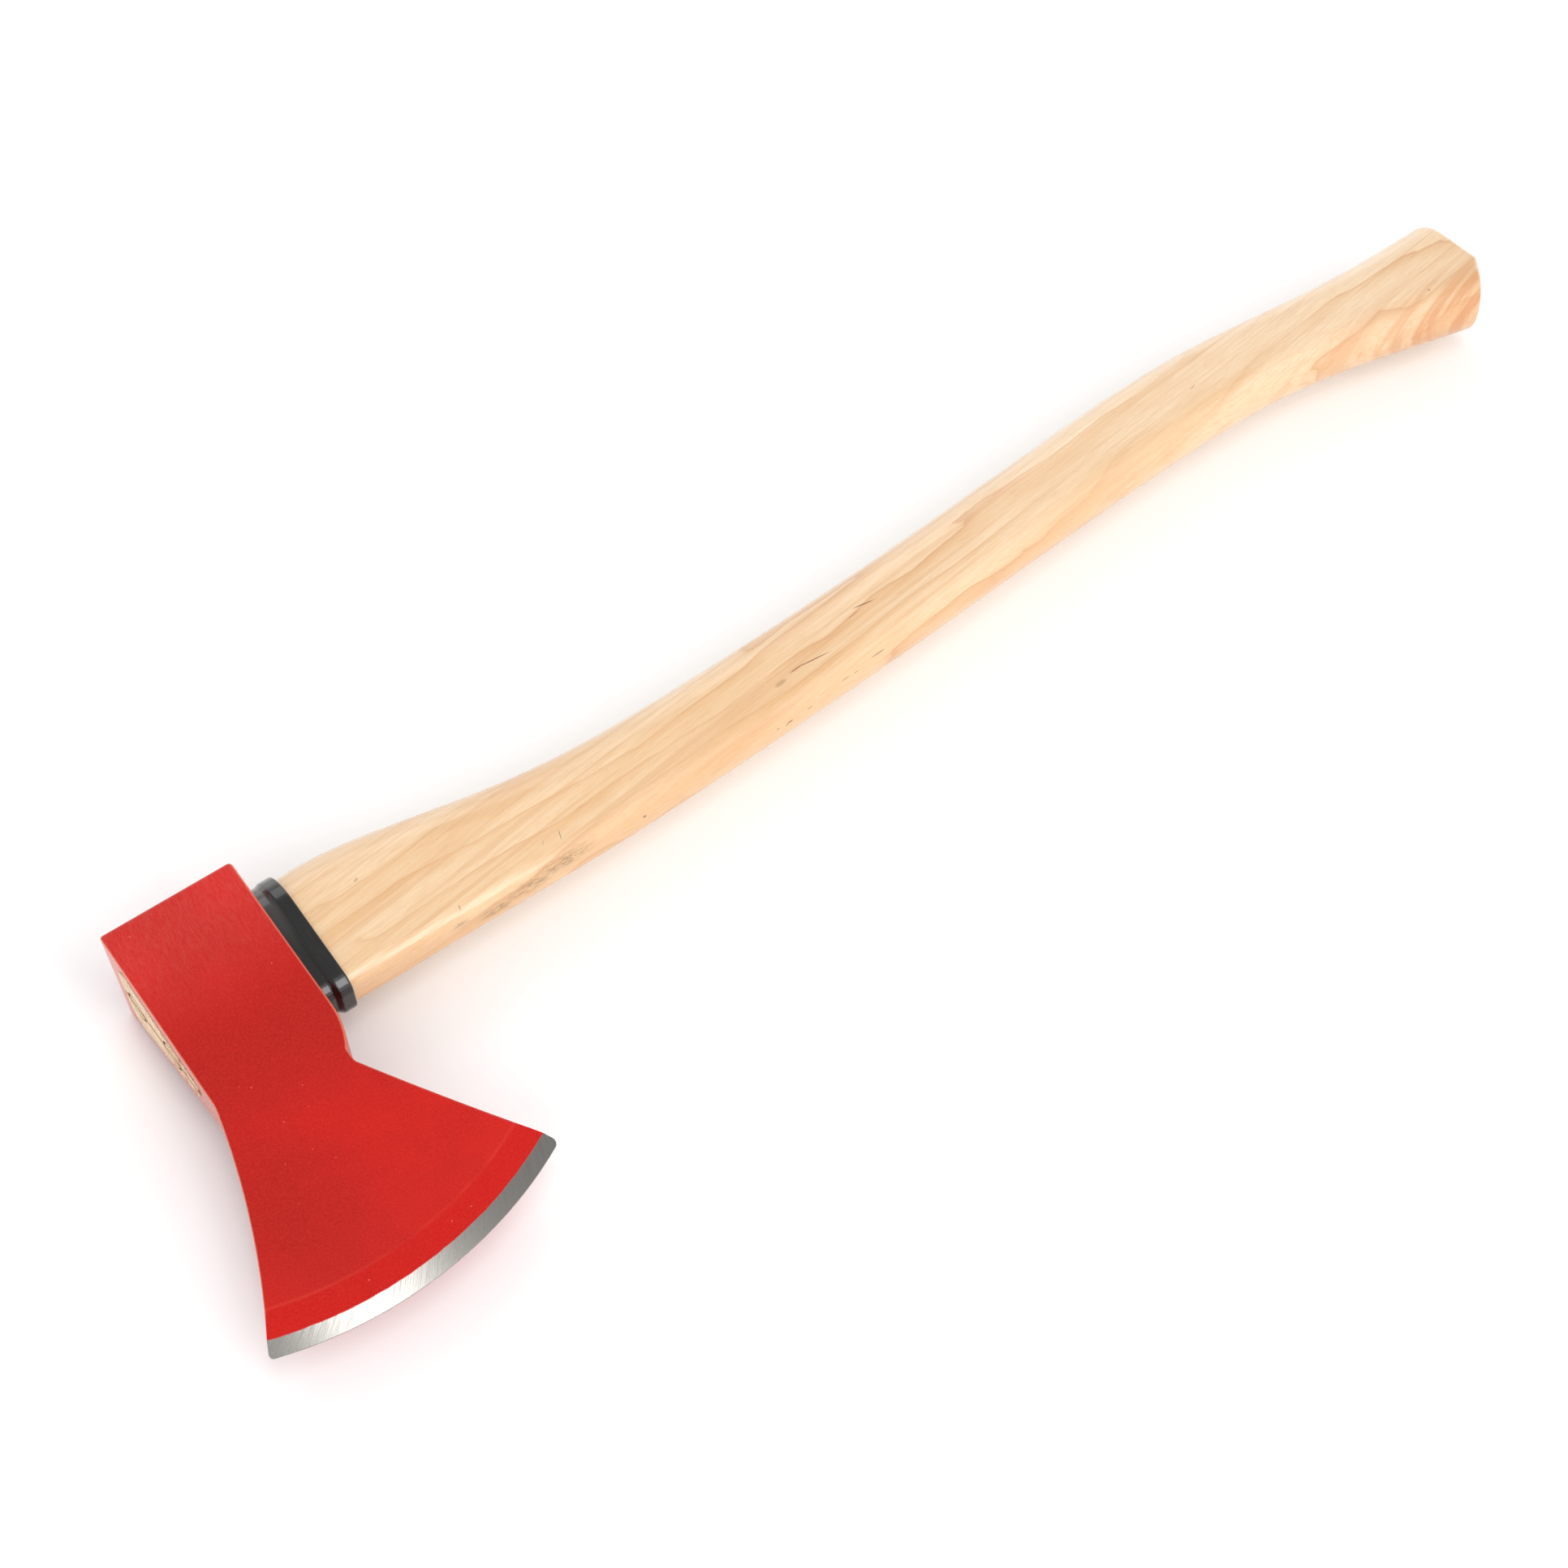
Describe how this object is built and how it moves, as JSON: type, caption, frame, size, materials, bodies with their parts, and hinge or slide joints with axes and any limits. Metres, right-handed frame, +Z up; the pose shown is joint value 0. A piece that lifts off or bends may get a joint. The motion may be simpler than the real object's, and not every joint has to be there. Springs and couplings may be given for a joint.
{
  "type": "splitting axe",
  "caption": "Splitting axe with a wedge-shaped painted steel head, a ground bit, a curved wooden handle wedged into the eye and a plastic collar under the head.",
  "frame": {"origin": "middle of the underside of the bounding box of the axe lying on its side", "axes": "+X along the handle from the head to the knob, +Y towards the poll, -Y towards the bit, +Z up and square to the cheeks"},
  "size_m": [0.6294, 0.1558, 0.0444],
  "materials": {
    "head_paint": "satin red paint, bare ground steel along the bit",
    "handle_wood": "lacquered pale hickory",
    "wedge_wood": "sawn, bare",
    "ring_steel": "dark, dull",
    "collar_plastic": "gloss black"
  },
  "bodies": {
    "root": {"axe_head": "head_paint", "handle": "handle_wood", "wooden_wedge": "wedge_wood", "ring_wedges": "ring_steel", "collar": "collar_plastic"}
  },
  "joints": []
}
